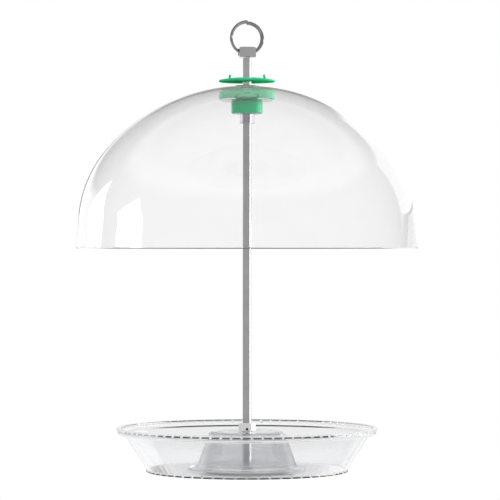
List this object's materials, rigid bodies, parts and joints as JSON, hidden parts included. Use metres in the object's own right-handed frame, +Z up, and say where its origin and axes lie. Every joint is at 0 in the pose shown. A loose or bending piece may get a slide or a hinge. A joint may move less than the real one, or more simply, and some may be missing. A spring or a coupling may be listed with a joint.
{
  "type": "hanging platform bird feeder",
  "caption": "Clear dome and clear seed tray on a steel pole that hangs from a split ring; a collet hub holds the dome at any height.",
  "frame": {"origin": "middle of the tray's flat underside, on the pole's axis", "axes": "+Z up along the pole, -Y towards the flat of the stop collar that holds its grub screw"},
  "size_m": [0.3, 0.3, 0.3954],
  "materials": {
    "bright_steel": "bright drawn bar, lightly polished",
    "dark_chrome": "dark chromed spring wire",
    "black_steel": "black oxide",
    "clear_plastic": "clear moulded, glossy",
    "smoky_plastic": "translucent with a faint lilac cast",
    "green_plastic": "moulded, satin gloss",
    "rubber": "matt"
  },
  "bodies": {
    "pole": {"pole": "bright_steel", "finial": "bright_steel", "stop_collar": "bright_steel", "stop_screw": "black_steel", "seed_cone": "clear_plastic", "tray": "clear_plastic", "tray_washer": "bright_steel", "tray_nut": "bright_steel"},
    "hub": {"hub_collar": "green_plastic"},
    "dome": {"dome": "clear_plastic"},
    "collet": {"clamp_washer": "smoky_plastic", "collet_sleeve": "smoky_plastic"},
    "collet_nut": {"collet_nut": "green_plastic"},
    "grip_ring": {"disc_grip_ring": "rubber"},
    "lock_disc": {"lock_disc": "green_plastic"},
    "hanging_ring": {"hanging_ring": "dark_chrome"}
  },
  "joints": [
    {"name": "ring_swing", "type": "hinge", "parent": "pole", "child": "hanging_ring", "pos_m": [0, 0, 0.3674], "axis": [0.9877, 0.1564, 0], "range_deg": [-90, 90]},
    {"name": "hub_slide", "type": "slide", "parent": "pole", "child": "hub", "axis": [0, 0, 1], "range_m": [-0.19, 0.006]},
    {"name": "dome_spin", "type": "hinge", "parent": "hub", "child": "dome", "pos_m": [0, 0, 0.3336], "axis": [0, 0, 1], "continuous": true},
    {"name": "collet_drop", "type": "slide", "parent": "hub", "child": "collet", "axis": [0, 0, -1], "range_m": [0, 0.0026]},
    {"name": "nut_turn", "type": "hinge", "parent": "collet", "child": "collet_nut", "pos_m": [0, 0, 0.3192], "axis": [0, 0, -1], "range_deg": [0, 360]},
    {"name": "disc_slide", "type": "slide", "parent": "hub", "child": "grip_ring", "axis": [0, 0, 1], "range_m": [-0.0028, 0.008]},
    {"name": "disc_turn", "type": "hinge", "parent": "grip_ring", "child": "lock_disc", "pos_m": [0, 0, 0.3433], "axis": [0, 0, 1], "continuous": true}
  ],
  "couplings": [
    {"joint": "collet_drop", "follows": "nut_turn", "m_per_rad": 0.000398}
  ]
}
